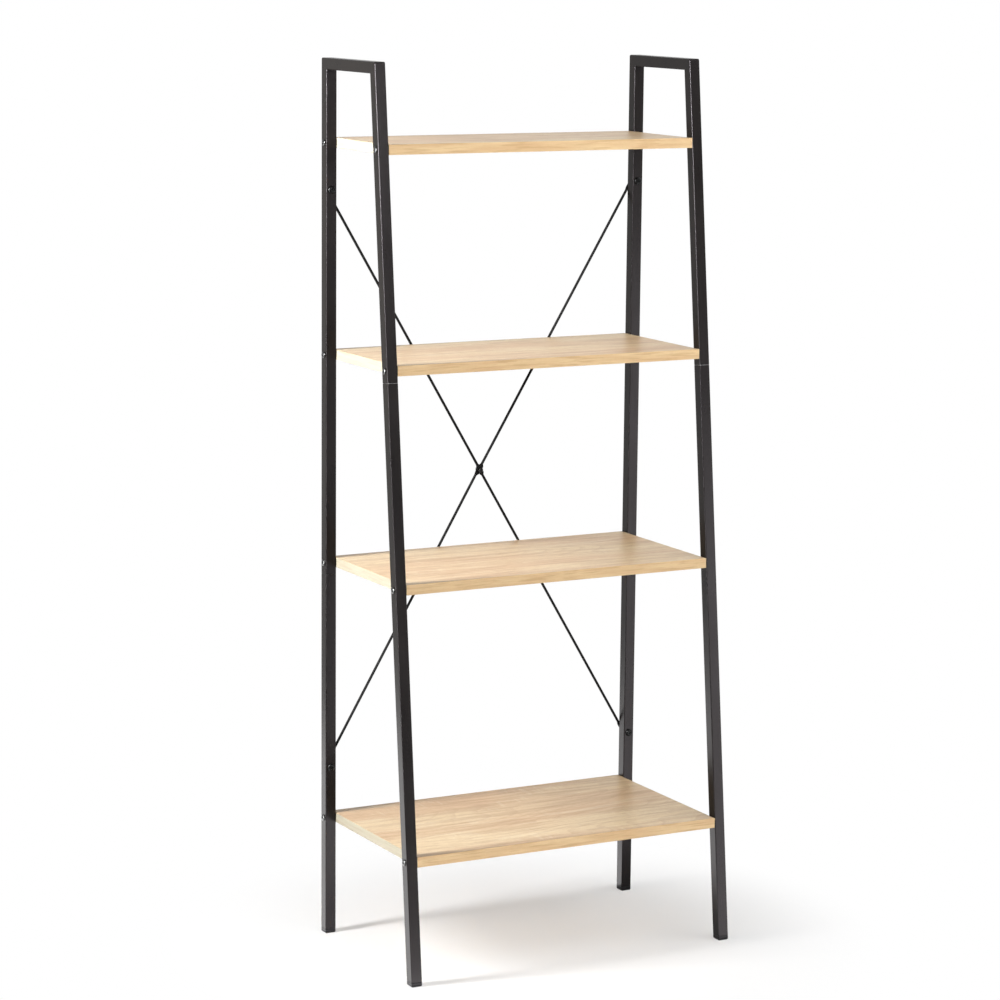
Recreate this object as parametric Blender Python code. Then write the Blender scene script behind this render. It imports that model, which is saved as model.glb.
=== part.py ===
# Ladder shelving unit with four boards.
# Two side frames of square steel tube carry the boards. Each rear leg is upright, each
# front leg leans back, so the boards grow deeper towards the floor. An X brace of thin
# rods stiffens the back. Metres, +Z up. The front faces -Y. The origin lies on the
# floor, in the middle of the unit's width and of its depth over everything.

import math

import bmesh
import bpy
from mathutils import Vector

# Overall sizes, over the side frames
frame_width = 0.600
floor_depth = 0.350
top_depth = 0.200

# Heights from the floor up: to the bottom board's top, then from top to top of the
# boards, and from the top board to the top of the frames
bottom_board_height = 0.210
bottom_bay = 0.440
middle_bay = 0.350
upper_bay = 0.350
tray_rise = 0.130

# Clearances
seat_gap = 0.0003
hole_clearance = 0.0003
cut_overrun = 0.002
merge_distance = 0.000001

# Square tube of the side frames
tube_size = 0.019
tube_wall = 0.001
tube_corner_radius = 0.0015
top_corner_radius = 0.003
tube_end_chamfer = 0.0004
seam_below_board_top = 0.028

# Sleeve inside each leg seam
connector_wall = 0.0012
connector_length = 0.080
connector_corner_radius = 0.0012

# Plastic caps under the legs
foot_height = 0.007
foot_edge_radius = 0.0018
foot_plug_height = 0.013
foot_plug_wall = 0.0015

# Boards: a core with a facing on both sides, and a strip on the front edge
board_core = 0.016
board_facing = 0.0003
board_edge_bevel = 0.0005
edge_band_thickness = 0.001
edge_band_bevel = 0.0002

# Button-head screws that hold the boards
shelf_bolt_diameter = 0.006
shelf_bolt_grip = 0.028
shelf_bolt_head_diameter = 0.0105
shelf_bolt_head_height = 0.0024
shelf_bolt_socket = 0.004
shelf_bolt_socket_depth = 0.0016

# Rods of the X brace
brace_below_top_board = 0.085
brace_above_bottom_board = 0.080
rod_diameter = 0.0045
tab_width = 0.0085
tab_thickness = 0.0015
leg_tab_length = 0.015
centre_tab_length = 0.0065
tab_taper_length = 0.005

# Bolts and nuts of the X brace
brace_bolt_diameter = 0.005
brace_bolt_head_diameter = 0.013
brace_bolt_head_height = 0.003
brace_bolt_socket = 0.004
brace_bolt_socket_depth = 0.0018
brace_bolt_end = 0.001
centre_bolt_head_diameter = 0.0085
centre_bolt_head_height = 0.0026
brace_nut_width = 0.008
brace_nut_thickness = 0.004
brace_nut_chamfer = 0.0005

# Shares of a screw's head: its straight edge, the arcs of its dome and its socket's rim
head_edge_share = 0.25
dome_shares = (0.35, 0.7)
socket_rim_share = 0.72

# Shares of a brace rod: the arcs of a tab's round end, and the steps of its taper
tab_end_shares = (0.85, 0.6, 0.3, 0)
tab_taper_shares = (0, 0.5, 1)

# Squareness of a section: 2 is an ellipse, more is flatter with tighter corners
round_squareness = 2
tab_squareness = 5

# Smoothness of the round forms
tube_corner_steps = 3
foot_edge_steps = 2
top_corner_steps = 3
round_sides = 12
smooth_angle = math.radians(35)

# Derived sizes
board_4_height = bottom_board_height
board_3_height = board_4_height + bottom_bay
board_2_height = board_3_height + middle_bay
board_1_height = board_2_height + upper_bay
board_heights = (board_1_height, board_2_height, board_3_height, board_4_height)
frame_height = board_1_height + tray_rise
board_thickness = board_core + 2 * board_facing
tab_count = 4
tab_pitch = tab_thickness + seat_gap
brace_stack = seat_gap + tab_count * tab_pitch
rear_reach = brace_stack + brace_nut_thickness + brace_bolt_end
back_face_y = (floor_depth - rear_reach) / 2
rear_leg_y = back_face_y - tube_size / 2
leg_x = (frame_width - tube_size) / 2
inner_face_x = frame_width / 2 - tube_size
lean = Vector((0, floor_depth - top_depth, frame_height)).normalized()
brace_top_height = board_1_height - brace_below_top_board
brace_bottom_height = board_4_height + brace_above_bottom_board
brace_centre_height = (brace_top_height + brace_bottom_height) / 2


def front_face_y(z):
    """The front legs' front face at a height."""
    return back_face_y - floor_depth + (floor_depth - top_depth) * z / frame_height


def front_leg_y(z):
    """The front legs' centre line at a height."""
    return front_face_y(z) + tube_size / 2 / lean.z


def board_middle(number):
    """The height of the middle of a board's thickness. Boards count from the top."""
    return board_heights[number - 1] - board_thickness / 2


def seam_height(number):
    """The height of the leg seam just under a board."""
    return board_heights[number - 1] - seam_below_board_top


def make_material(name, color, roughness, metallic):
    material = bpy.data.materials.new(name)
    material.use_nodes = True
    material.diffuse_color = (*color, 1)
    shader = material.node_tree.nodes["Principled BSDF"]
    shader.inputs["Base Color"].default_value = (*color, 1)
    shader.inputs["Roughness"].default_value = roughness
    shader.inputs["Metallic"].default_value = metallic
    return material


def add_object(name, bm, material):
    """Turn a closed bmesh into an object whose faces point out."""
    bmesh.ops.remove_doubles(bm, verts=bm.verts, dist=merge_distance)
    bmesh.ops.recalc_face_normals(bm, faces=bm.faces)
    mesh = bpy.data.meshes.new(name)
    bm.to_mesh(mesh)
    bm.free()
    mesh.shade_smooth()
    mesh.set_sharp_from_angle(angle=smooth_angle)
    mesh.materials.append(material)
    obj = bpy.data.objects.new(name, mesh)
    bpy.context.scene.collection.objects.link(obj)
    return obj


def loft(bm, rings, closed=False):
    """Skin a row of rings with equal counts. An open row is capped at both ends."""
    loops = [[bm.verts.new(point) for point in ring] for ring in rings]
    pairs = list(zip(loops, loops[1:]))
    if closed:
        pairs.append((loops[-1], loops[0]))
    for near, far in pairs:
        for i in range(len(near)):
            j = (i + 1) % len(near)
            bm.faces.new((near[i], near[j], far[j], far[i]))
    if not closed:
        bm.faces.new(loops[0])
        bm.faces.new(loops[-1])


def rounded_square(size, radius):
    """Points round a square with rounded corners, as pairs."""
    points = []
    reach = size / 2 - radius
    for corner in range(4):
        start = corner * math.pi / 2
        across = reach * (1 if corner in (0, 3) else -1)
        along = reach * (1 if corner in (0, 1) else -1)
        for step in range(tube_corner_steps + 1):
            angle = start + step / tube_corner_steps * math.pi / 2
            points.append((across + radius * math.cos(angle),
                           along + radius * math.sin(angle)))
    return points


def drill(target, holes):
    """Cut round holes, each given by its start, end and radius."""
    bm = bmesh.new()
    for start, end, radius in holes:
        axis = end - start
        turn = axis.to_track_quat("Z", "Y").to_matrix().to_4x4()
        turn.translation = (start + end) / 2
        bmesh.ops.create_cone(bm, cap_ends=True, segments=round_sides, radius1=radius,
                              radius2=radius, depth=axis.length, matrix=turn)
    mesh = bpy.data.meshes.new(target.name + "_cutter")
    bm.to_mesh(mesh)
    bm.free()
    cutter = bpy.data.objects.new(mesh.name, mesh)
    bpy.context.scene.collection.objects.link(cutter)
    cutter.hide_render = True
    cutter.display_type = "WIRE"
    cut = target.modifiers.new("holes", "BOOLEAN")
    cut.operation = "DIFFERENCE"
    cut.solver = "EXACT"
    cut.object = cutter


# The side frames are drawn in the YZ plane. A path's outer side is on its left hand
# when the path runs up the rear leg, forward along the top bar and down the front leg.


def outer_normal(direction):
    return Vector((0, direction.z, -direction.y))


def straight_ring(x, centre, direction, profile, cut):
    """A tube section at a path's end, cut square to the tube or level with the floor."""
    normal = outer_normal(direction)
    ring = []
    for across, out in profile:
        point = centre + normal * out
        if cut == "level":
            point = point + direction * ((centre.z - point.z) / direction.z)
        ring.append(Vector((x + across, point.y, point.z)))
    return ring


def corner_rings(x, corner, before, after, profile):
    """Sections round a mitred corner whose outer edge is ground round."""
    first = outer_normal(before)
    last = outer_normal(after)
    mitre = (first + last) / (1 + first.dot(last))
    pivot_out = tube_size / 2 - top_corner_radius
    pivot = corner + mitre * pivot_out
    rings = []
    for step in range(top_corner_steps + 1):
        normal = first.slerp(last, step / top_corner_steps)
        ring = []
        for across, out in profile:
            if out > pivot_out:
                point = pivot + normal * (out - pivot_out)
            else:
                point = corner + mitre * out
            ring.append(Vector((x + across, point.y, point.z)))
        rings.append(ring)
    return rings


def path_rings(x, path, profile, cuts):
    """Sections along a path of straight runs with mitred corners."""
    directions = [(far - near).normalized() for near, far in zip(path, path[1:])]
    rings = [straight_ring(x, path[0], directions[0], profile, cuts[0])]
    for i in range(1, len(path) - 1):
        rings += corner_rings(x, path[i], directions[i - 1], directions[i], profile)
    rings.append(straight_ring(x, path[-1], directions[-1], profile, cuts[1]))
    return rings


def chamfered_path(path, chamfers):
    """The path, drawn in at the ends that are chamfered."""
    start = path[0] + (path[1] - path[0]).normalized() * chamfers[0]
    end = path[-1] + (path[-2] - path[-1]).normalized() * chamfers[1]
    return [start] + path[1:-1] + [end]


def make_tube(name, x, path, size, wall, radius, material, cuts=("square", "square"),
              chamfers=(0, 0)):
    """A hollow square tube along a path, open at both ends."""
    outer = rounded_square(size, radius)
    inner = rounded_square(size - 2 * wall, max(radius - wall, wall / 2))
    drawn_in = chamfered_path(path, chamfers)
    outside = path_rings(x, drawn_in, outer, cuts)
    inside = path_rings(x, path, inner, cuts)
    directions = ((path[1] - path[0]).normalized(), (path[-1] - path[-2]).normalized())
    if chamfers[0]:
        narrow = rounded_square(size - 2 * chamfers[0], radius - chamfers[0] / 2)
        outside.insert(0, straight_ring(x, path[0], directions[0], narrow, cuts[0]))
    if chamfers[1]:
        narrow = rounded_square(size - 2 * chamfers[1], radius - chamfers[1] / 2)
        outside.append(straight_ring(x, path[-1], directions[1], narrow, cuts[1]))
    bm = bmesh.new()
    loft(bm, outside + inside[::-1], closed=True)
    return add_object(name, bm, material)


def rear_point(z):
    return Vector((0, rear_leg_y, z))


def front_point(z):
    return Vector((0, front_leg_y(z), z))


def shelf_hole(side, point):
    """A hole through a leg for a board's screw."""
    reach = tube_size / 2 + cut_overrun
    radius = shelf_bolt_diameter / 2 + hole_clearance
    start = Vector((side * leg_x - reach, point.y, point.z))
    end = Vector((side * leg_x + reach, point.y, point.z))
    return (start, end, radius)


def brace_hole(side, z):
    """A hole through a rear leg for a brace bolt."""
    reach = tube_size / 2 + cut_overrun
    radius = brace_bolt_diameter / 2 + hole_clearance
    start = Vector((side * leg_x, rear_leg_y - reach, z))
    end = Vector((side * leg_x, rear_leg_y + reach, z))
    return (start, end, radius)


def make_upper_frame(name, side, material):
    """The welded inverted U: rear leg, top bar and short front leg."""
    bar_z = frame_height - tube_size / 2
    path = [
        rear_point(seam_height(3) + seat_gap / 2),
        rear_point(bar_z),
        front_point(bar_z),
        front_point(seam_height(2) + seat_gap / 2),
    ]
    chamfers = (tube_end_chamfer, tube_end_chamfer)
    frame = make_tube(name, side * leg_x, path, tube_size, tube_wall,
                      tube_corner_radius, material, chamfers=chamfers)
    holes = [shelf_hole(side, rear_point(board_middle(n))) for n in (1, 2, 3)]
    holes += [shelf_hole(side, front_point(board_middle(n))) for n in (1, 2)]
    holes.append(brace_hole(side, brace_top_height))
    drill(frame, holes)


def make_lower_leg(name, side, point_at, seam_board, boards, material, braced):
    """A leg from its foot cap up to its seam."""
    path = [
        point_at(foot_height + seat_gap),
        point_at(seam_height(seam_board) - seat_gap / 2),
    ]
    leg = make_tube(name, side * leg_x, path, tube_size, tube_wall, tube_corner_radius,
                    material, cuts=("level", "square"), chamfers=(0, tube_end_chamfer))
    holes = [shelf_hole(side, point_at(board_middle(n))) for n in boards]
    if braced:
        holes.append(brace_hole(side, brace_bottom_height))
    drill(leg, holes)


def make_connector(name, side, point_at, board, material):
    """The sleeve inside a seam. The screw of the board above the seam passes it."""
    half = connector_length / 2
    path = [point_at(seam_height(board) - half), point_at(seam_height(board) + half)]
    size = tube_size - 2 * tube_wall - 2 * seat_gap
    sleeve = make_tube(name, side * leg_x, path, size, connector_wall,
                       connector_corner_radius, material)
    drill(sleeve, [shelf_hole(side, point_at(board_middle(board)))])


def make_foot(name, side, point_at, material):
    """A cap with rounded bottom edges and a hollow plug that grips the tube's inside."""
    direction = (point_at(frame_height) - point_at(0)).normalized()
    plug_size = tube_size - 2 * tube_wall - 2 * seat_gap
    plug_top = foot_height + foot_plug_height
    plug_radius = tube_corner_radius - tube_wall
    well_size = plug_size - 2 * foot_plug_wall

    def section(size, radius, z):
        profile = rounded_square(size, radius)
        return straight_ring(side * leg_x, point_at(z), direction, profile, "level")

    rings = []
    for step in range(foot_edge_steps + 1):
        angle = step / foot_edge_steps * math.pi / 2
        inset = foot_edge_radius * (1 - math.sin(angle))
        z = foot_edge_radius * (1 - math.cos(angle))
        radius = tube_corner_radius - inset * tube_corner_radius / (2 * foot_edge_radius)
        rings.append(section(tube_size - 2 * inset, radius, z))
    rings.append(section(tube_size, tube_corner_radius, foot_height))
    rings.append(section(plug_size, plug_radius, foot_height))
    rings.append(section(plug_size, plug_radius, plug_top))
    rings.append(section(well_size, plug_radius / 2, plug_top))
    rings.append(section(well_size, plug_radius / 2, foot_height))
    bm = bmesh.new()
    loft(bm, rings)
    add_object(name, bm, material)


def bevelled_box(name, low, high, bevel, material):
    bm = bmesh.new()
    bmesh.ops.create_cube(bm, size=1)
    bmesh.ops.scale(bm, vec=high - low, verts=bm.verts)
    bmesh.ops.translate(bm, vec=(low + high) / 2, verts=bm.verts)
    bmesh.ops.bevel(bm, geom=bm.edges[:], offset=bevel, segments=1, affect="EDGES")
    return add_object(name, bm, material)


def make_board(number, board_material, band_material):
    """A board with a pilot hole for each screw, and the strip on its front edge."""
    top = board_heights[number - 1]
    bottom = top - board_thickness
    front = front_face_y(board_middle(number))
    half = inner_face_x - seat_gap
    core_front = front + edge_band_thickness + seat_gap
    board = bevelled_box(f"shelf_board_{number}", Vector((-half, core_front, bottom)),
                         Vector((half, back_face_y, top)), board_edge_bevel,
                         board_material)
    bevelled_box(f"front_edge_band_{number}", Vector((-half, front, bottom)),
                 Vector((half, front + edge_band_thickness, top)), edge_band_bevel,
                 band_material)
    holes = []
    radius = shelf_bolt_diameter / 2 + hole_clearance
    for side in (-1, 1):
        for point in (rear_point(board_middle(number)), front_point(board_middle(number))):
            outside = Vector((side * (half + cut_overrun), point.y, point.z))
            bottom_x = inner_face_x - shelf_bolt_grip - hole_clearance
            inside = Vector((side * bottom_x, point.y, point.z))
            holes.append((outside, inside, radius))
    drill(board, holes)


def circle_ring(centre, axis, side_way, radius, distance):
    """A ring of points round an axis."""
    other = axis.cross(side_way)
    middle = centre + axis * distance
    ring = []
    for i in range(round_sides):
        angle = 2 * math.pi * i / round_sides
        ring.append(middle + side_way * (radius * math.cos(angle))
                    + other * (radius * math.sin(angle)))
    return ring


def hexagon_ring(centre, axis, side_way, width, distance):
    """A ring on a hexagon: its corners, and the middles of its flats."""
    other = axis.cross(side_way)
    middle = centre + axis * distance
    ring = []
    for i in range(round_sides):
        turn = (2 * math.pi * i / round_sides) % (math.pi / 3)
        radius = width / 2 / math.cos(turn - math.pi / 6)
        angle = 2 * math.pi * i / round_sides
        ring.append(middle + side_way * (radius * math.cos(angle))
                    + other * (radius * math.sin(angle)))
    return ring


def make_bolt(name, seat, axis, side_way, shank_radius, shank_length, head_radius,
              head_height, socket, socket_depth, material):
    """A round-head socket screw. The axis points from its seat out through its head."""
    bm = bmesh.new()
    rim = socket * socket_rim_share
    edge = head_height * head_edge_share
    rise = head_height - edge
    rings = [
        circle_ring(seat, axis, side_way, shank_radius, -shank_length),
        circle_ring(seat, axis, side_way, shank_radius, 0),
        circle_ring(seat, axis, side_way, head_radius, 0),
        circle_ring(seat, axis, side_way, head_radius, edge),
    ]
    for share in dome_shares:
        angle = share * math.pi / 2
        radius = rim + (head_radius - rim) * math.cos(angle)
        rings.append(circle_ring(seat, axis, side_way, radius,
                                 edge + rise * math.sin(angle)))
    rings.append(circle_ring(seat, axis, side_way, rim, head_height))
    rings.append(hexagon_ring(seat, axis, side_way, socket, head_height))
    floor = head_height - socket_depth
    rings.append(hexagon_ring(seat, axis, side_way, socket, floor))
    loft(bm, rings)
    add_object(name, bm, material)


def make_nut(name, seat, axis, side_way, material):
    """A hexagon nut with chamfered corners. The axis points away from its seat."""
    bore = brace_bolt_diameter / 2 + hole_clearance
    crown = brace_nut_width / 2
    top = brace_nut_thickness
    rings = [
        circle_ring(seat, axis, side_way, bore, 0),
        circle_ring(seat, axis, side_way, crown, 0),
        hexagon_ring(seat, axis, side_way, brace_nut_width, brace_nut_chamfer),
        hexagon_ring(seat, axis, side_way, brace_nut_width, top - brace_nut_chamfer),
        circle_ring(seat, axis, side_way, crown, top),
        circle_ring(seat, axis, side_way, bore, top),
    ]
    bm = bmesh.new()
    loft(bm, rings, closed=True)
    add_object(name, bm, material)


def rod_section(centre, sideways, width, thickness, squareness):
    """A section of a brace rod. Its front side lies at the centre's depth, so the rod
    and its pressed tabs share one flat front."""
    ring = []
    for i in range(round_sides):
        angle = 2 * math.pi * (i + 0.5) / round_sides
        power = 2 / squareness
        across = math.copysign(abs(math.cos(angle)) ** power, math.cos(angle))
        deep = math.copysign(abs(math.sin(angle)) ** power, math.sin(angle))
        ring.append(centre + sideways * (across * width / 2)
                    + Vector((0, thickness / 2 * (1 + deep), 0)))
    return ring


def blend(start, end, share):
    return start + (end - start) * share


def tab_stations(tab_length):
    """One end of a rod, from the tip of its tab to where it is round.
    Each station is its distance from the hole, its width, thickness and squareness."""
    stations = []
    for share in tab_end_shares:
        angle = share * math.pi / 2
        stations.append((-tab_width / 2 * math.sin(angle), tab_width * math.cos(angle),
                         tab_thickness, tab_squareness))
    for share in tab_taper_shares:
        stations.append((tab_length + tab_taper_length * share,
                         blend(tab_width, rod_diameter, share),
                         blend(tab_thickness, rod_diameter, share),
                         blend(tab_squareness, round_squareness, share)))
    return stations


def make_brace_rod(name, side, leg_height, layer, material):
    """A half-rod of the X, from its tab on a rear leg to its tab in the centre stack."""
    leg_hole = Vector((side * leg_x, back_face_y + seat_gap, leg_height))
    centre_hole = Vector((0, leg_hole.y + layer * tab_pitch, brace_centre_height))
    run = Vector((-leg_hole.x, 0, centre_hole.z - leg_hole.z))
    length = run.length
    way = run / length
    across = Vector((-way.z, 0, way.x))
    stations = tab_stations(leg_tab_length)
    for distance, *section in reversed(tab_stations(centre_tab_length)):
        stations.append((length - distance, *section))
    bend_start = leg_tab_length + tab_taper_length
    bend_end = length - centre_tab_length - tab_taper_length
    rings = []
    for distance, *section in stations:
        share = min(max((distance - bend_start) / (bend_end - bend_start), 0), 1)
        centre = leg_hole + way * distance
        centre.y = blend(leg_hole.y, centre_hole.y, share)
        rings.append(rod_section(centre, across, *section))
    bm = bmesh.new()
    loft(bm, rings)
    rod = add_object(name, bm, material)
    radius = brace_bolt_diameter / 2 + hole_clearance
    holes = []
    for hole in (leg_hole, centre_hole):
        start = hole - Vector((0, cut_overrun, 0))
        end = hole + Vector((0, tab_thickness + cut_overrun, 0))
        holes.append((start, end, radius))
    drill(rod, holes)


def make_shelf_bolts(material):
    for side, side_name in ((-1, "left"), (1, "right")):
        for number in (1, 2, 3, 4):
            for place, point_at in (("rear", rear_point), ("front", front_point)):
                point = point_at(board_middle(number))
                seat_x = side * (frame_width / 2 + seat_gap)
                seat = Vector((seat_x, point.y, point.z))
                make_bolt(f"shelf_bolt_{number}_{place}_{side_name}", seat,
                          Vector((side, 0, 0)), Vector((0, 0, 1)),
                          shelf_bolt_diameter / 2,
                          seat_gap + tube_size + shelf_bolt_grip,
                          shelf_bolt_head_diameter / 2, shelf_bolt_head_height,
                          shelf_bolt_socket, shelf_bolt_socket_depth, material)


def make_brace(rod_material, bolt_material):
    forward = Vector((0, -1, 0))
    backward = Vector((0, 1, 0))
    upward = Vector((0, 0, 1))
    corners = (
        ("upper_left", -1, brace_top_height, 0),
        ("lower_right", 1, brace_bottom_height, 1),
        ("upper_right", 1, brace_top_height, 2),
        ("lower_left", -1, brace_bottom_height, 3),
    )
    tab_back = back_face_y + seat_gap + tab_thickness
    head_seat = back_face_y - tube_size - seat_gap
    nut_seat = tab_back + seat_gap
    bolt_length = nut_seat + brace_nut_thickness + brace_bolt_end - head_seat
    for name, side, height, layer in corners:
        make_brace_rod(f"brace_rod_{name}", side, height, layer, rod_material)
        make_bolt(f"brace_bolt_{name}", Vector((side * leg_x, head_seat, height)),
                  forward, upward, brace_bolt_diameter / 2, bolt_length,
                  brace_bolt_head_diameter / 2, brace_bolt_head_height,
                  brace_bolt_socket, brace_bolt_socket_depth, bolt_material)
        make_nut(f"brace_nut_{name}", Vector((side * leg_x, nut_seat, height)),
                 backward, upward, bolt_material)
    centre_nut_seat = back_face_y + brace_stack
    make_bolt("brace_centre_bolt", Vector((0, back_face_y, brace_centre_height)),
              forward, upward, brace_bolt_diameter / 2, rear_reach,
              centre_bolt_head_diameter / 2, centre_bolt_head_height,
              brace_bolt_socket, brace_bolt_socket_depth, bolt_material)
    make_nut("brace_centre_nut", Vector((0, centre_nut_seat, brace_centre_height)),
             backward, upward, bolt_material)


def make_side(side, name, coat, steel, plastic):
    make_upper_frame(f"upper_frame_{name}", side, coat)
    make_lower_leg(f"lower_front_leg_{name}", side, front_point, 2, (3, 4), coat, False)
    make_lower_leg(f"lower_rear_leg_{name}", side, rear_point, 3, (4,), coat, True)
    make_connector(f"tube_connector_front_{name}", side, front_point, 2, steel)
    make_connector(f"tube_connector_rear_{name}", side, rear_point, 3, steel)
    make_foot(f"foot_cap_front_{name}", side, front_point, plastic)
    make_foot(f"foot_cap_rear_{name}", side, rear_point, plastic)


def main():
    for obj in list(bpy.data.objects):
        bpy.data.objects.remove(obj)
    coat = make_material("black_powder_coat", (0.035, 0.034, 0.035), 0.45, 0.0)
    steel = make_material("plain_steel", (0.55, 0.55, 0.56), 0.35, 1.0)
    plastic = make_material("black_plastic", (0.02, 0.02, 0.02), 0.5, 0.0)
    black_screw = make_material("black_screw", (0.05, 0.05, 0.05), 0.3, 0.8)
    oak = make_material("light_oak_board", (0.76, 0.6, 0.42), 0.4, 0.0)
    oak_edge = make_material("light_oak_edge", (0.68, 0.5, 0.3), 0.45, 0.0)
    for side, name in ((-1, "left"), (1, "right")):
        make_side(side, name, coat, steel, plastic)
    for number in (1, 2, 3, 4):
        make_board(number, oak, oak_edge)
    make_shelf_bolts(black_screw)
    make_brace(coat, black_screw)


main()
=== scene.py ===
# %% [markdown]
# # A ladder shelving unit, dressed
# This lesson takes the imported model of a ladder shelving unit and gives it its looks.
# On the real object, two side frames of black square tube carry four light oak boards,
# and an X of thin rods stiffens the back. Its construction comes from the frame, which
# stays as it is. What is made here is the fine surface: rounded tube, turned screw
# heads, pressed rods, veneer, powder coat.

import math

import bmesh
import bpy
from mathutils import Matrix, Vector


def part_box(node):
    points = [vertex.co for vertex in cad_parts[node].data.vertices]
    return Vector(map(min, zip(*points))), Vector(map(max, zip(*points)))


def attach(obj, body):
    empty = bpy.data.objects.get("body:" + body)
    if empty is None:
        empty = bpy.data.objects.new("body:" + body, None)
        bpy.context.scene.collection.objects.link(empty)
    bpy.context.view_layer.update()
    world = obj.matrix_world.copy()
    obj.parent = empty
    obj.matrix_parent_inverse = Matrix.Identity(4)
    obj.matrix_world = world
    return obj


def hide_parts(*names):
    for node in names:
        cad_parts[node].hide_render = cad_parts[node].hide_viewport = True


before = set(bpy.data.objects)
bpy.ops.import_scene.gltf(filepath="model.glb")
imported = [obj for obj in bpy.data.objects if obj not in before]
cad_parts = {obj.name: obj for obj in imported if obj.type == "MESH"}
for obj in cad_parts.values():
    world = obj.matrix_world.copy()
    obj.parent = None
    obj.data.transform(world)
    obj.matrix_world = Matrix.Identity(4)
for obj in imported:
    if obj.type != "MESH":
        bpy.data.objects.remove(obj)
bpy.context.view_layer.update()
print("nodes in the frame:", len(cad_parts))

# %% [markdown]
# ## The camera
# It stands to the left of the unit and a little above its top, so it looks down on all
# four boards. A long lens keeps the upright legs nearly parallel. The camera could be
# aimed with a Track To constraint, but a turn, a dip and a small roll, written out,
# say more plainly where it looks.

# %% Camera
camera_place = Vector((-2.5915, -4.7924, 1.6732))
camera_turn = math.radians(27.925)
camera_dip = math.radians(9.610)
camera_roll = math.radians(0.547)
camera_lens = 119.24
sensor_width = 36


def aim_camera():
    level = math.cos(camera_dip)
    ahead = Vector((math.sin(camera_turn) * level, math.cos(camera_turn) * level,
                    -math.sin(camera_dip)))
    right = Vector((math.cos(camera_turn), -math.sin(camera_turn), 0))
    up = right.cross(ahead)
    rolled_right = right * math.cos(camera_roll) + up * math.sin(camera_roll)
    rolled_up = up * math.cos(camera_roll) - right * math.sin(camera_roll)
    turn = Matrix((rolled_right, rolled_up, -ahead)).transposed()
    lens = bpy.data.cameras.new("camera")
    lens.sensor_width = sensor_width
    lens.lens = camera_lens
    camera = bpy.data.objects.new("camera", lens)
    camera.matrix_world = Matrix.Translation(camera_place) @ turn.to_4x4()
    bpy.context.scene.collection.objects.link(camera)
    bpy.context.scene.camera = camera
    return camera


camera = aim_camera()
print("camera at", [round(v, 3) for v in camera.location])

# %% [markdown]
# ## Sizes read from the frame
# The new pieces take their places from the CAD nodes. A box is enough for an upright
# leg or a board. The front legs lean, so their slope comes from three measures of the
# whole unit: its depth on the floor, its depth at the top, and its height.

# %% Sizes
rear_low, rear_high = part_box("lower_rear_leg_left")
tube_size = rear_high.x - rear_low.x
gap = 0.0003
leg_x = -(rear_low.x + rear_high.x) / 2
rear_y = (rear_low.y + rear_high.y) / 2
back_face = rear_high.y
frame_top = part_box("upper_frame_left")[1].z
depth_at_floor = 0.350
depth_at_top = 0.200
front_slope = (depth_at_floor - depth_at_top) / frame_top
lean = Vector((0, depth_at_floor - depth_at_top, frame_top)).normalized()
upright = Vector((0, 0, 1))
print(f"tube {tube_size * 1000:.1f} mm, legs at x {leg_x:.4f}, top at {frame_top:.4f}")


def front_face(z):
    """The front legs' front face at a height."""
    return back_face - depth_at_floor + front_slope * z


def rear_point(z):
    """The middle of a rear leg at a height. A side's X is added later."""
    return Vector((0, rear_y, z))


def front_point(z):
    """The middle of a front leg at a height."""
    return Vector((0, front_face(z) + tube_size / 2 / lean.z, z))


print(f"front face at the floor {front_face(0):.4f},",
      f"at the top {front_face(frame_top):.4f}")

# %% [markdown]
# ## Finishing a piece
# Every new piece goes through the same last step: its mesh is closed and turned
# outwards, its round parts are shaded smooth, and a Weighted Normal modifier lets the
# broad flat faces keep their own normals. Without it a flat tube wall next to a small
# rounded corner would shade as if it bulged.

# %% Finish a piece
smooth_limit = math.radians(35)
merge_distance = 0.000002


def finish(name, bm, materials, *nodes, slot):
    """Turn a bmesh into a finished piece that stands for the CAD nodes named."""
    bmesh.ops.remove_doubles(bm, verts=bm.verts, dist=merge_distance)
    bmesh.ops.recalc_face_normals(bm, faces=bm.faces)
    mesh = bpy.data.meshes.new(name)
    bm.to_mesh(mesh)
    bm.free()
    mesh.shade_smooth()
    mesh.set_sharp_from_angle(angle=smooth_limit)
    for material in materials:
        mesh.materials.append(material)
    piece = bpy.data.objects.new(name, mesh)
    bpy.context.scene.collection.objects.link(piece)
    even = piece.modifiers.new("even_normals", "WEIGHTED_NORMAL")
    even.keep_sharp = True
    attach(piece, "root")
    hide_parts(*nodes)
    return piece


print("smooth where faces turn by less than", round(math.degrees(smooth_limit)), "degrees")

# %% [markdown]
# ## Node trees without clutter
# A material is a small graph, and a few helpers keep its code short. One adds a node and
# fills its sockets with numbers or with links. One starts a material with a Principled
# BSDF. The rest are short names for what most finishes here do. A number that is the
# same all over the surface is set straight on the shader's socket, so that it survives
# an export.

# %% Nodes and materials
resin_ior = 1.5
usual_specular = 0.5


def add(tree, kind, sockets=None, **settings):
    """Add a node. A socket's value is a number, a colour, or another node's output."""
    node = tree.nodes.new(kind)
    for name, value in settings.items():
        setattr(node, name, value)
    for key, value in (sockets or {}).items():
        if isinstance(value, bpy.types.NodeSocket):
            tree.links.new(value, node.inputs[key])
        else:
            node.inputs[key].default_value = value
    return node


def start_material(name, roughness, specular=usual_specular, metallic=0.0):
    material = bpy.data.materials.new(name)
    material.use_nodes = True
    tree = material.node_tree
    shader = tree.nodes["Principled BSDF"]
    shader.inputs["Roughness"].default_value = roughness
    shader.inputs["Specular IOR Level"].default_value = specular
    shader.inputs["Metallic"].default_value = metallic
    shader.inputs["IOR"].default_value = resin_ior
    place = add(tree, "ShaderNodeTexCoord").outputs["Object"]
    return material, tree, shader, place


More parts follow.
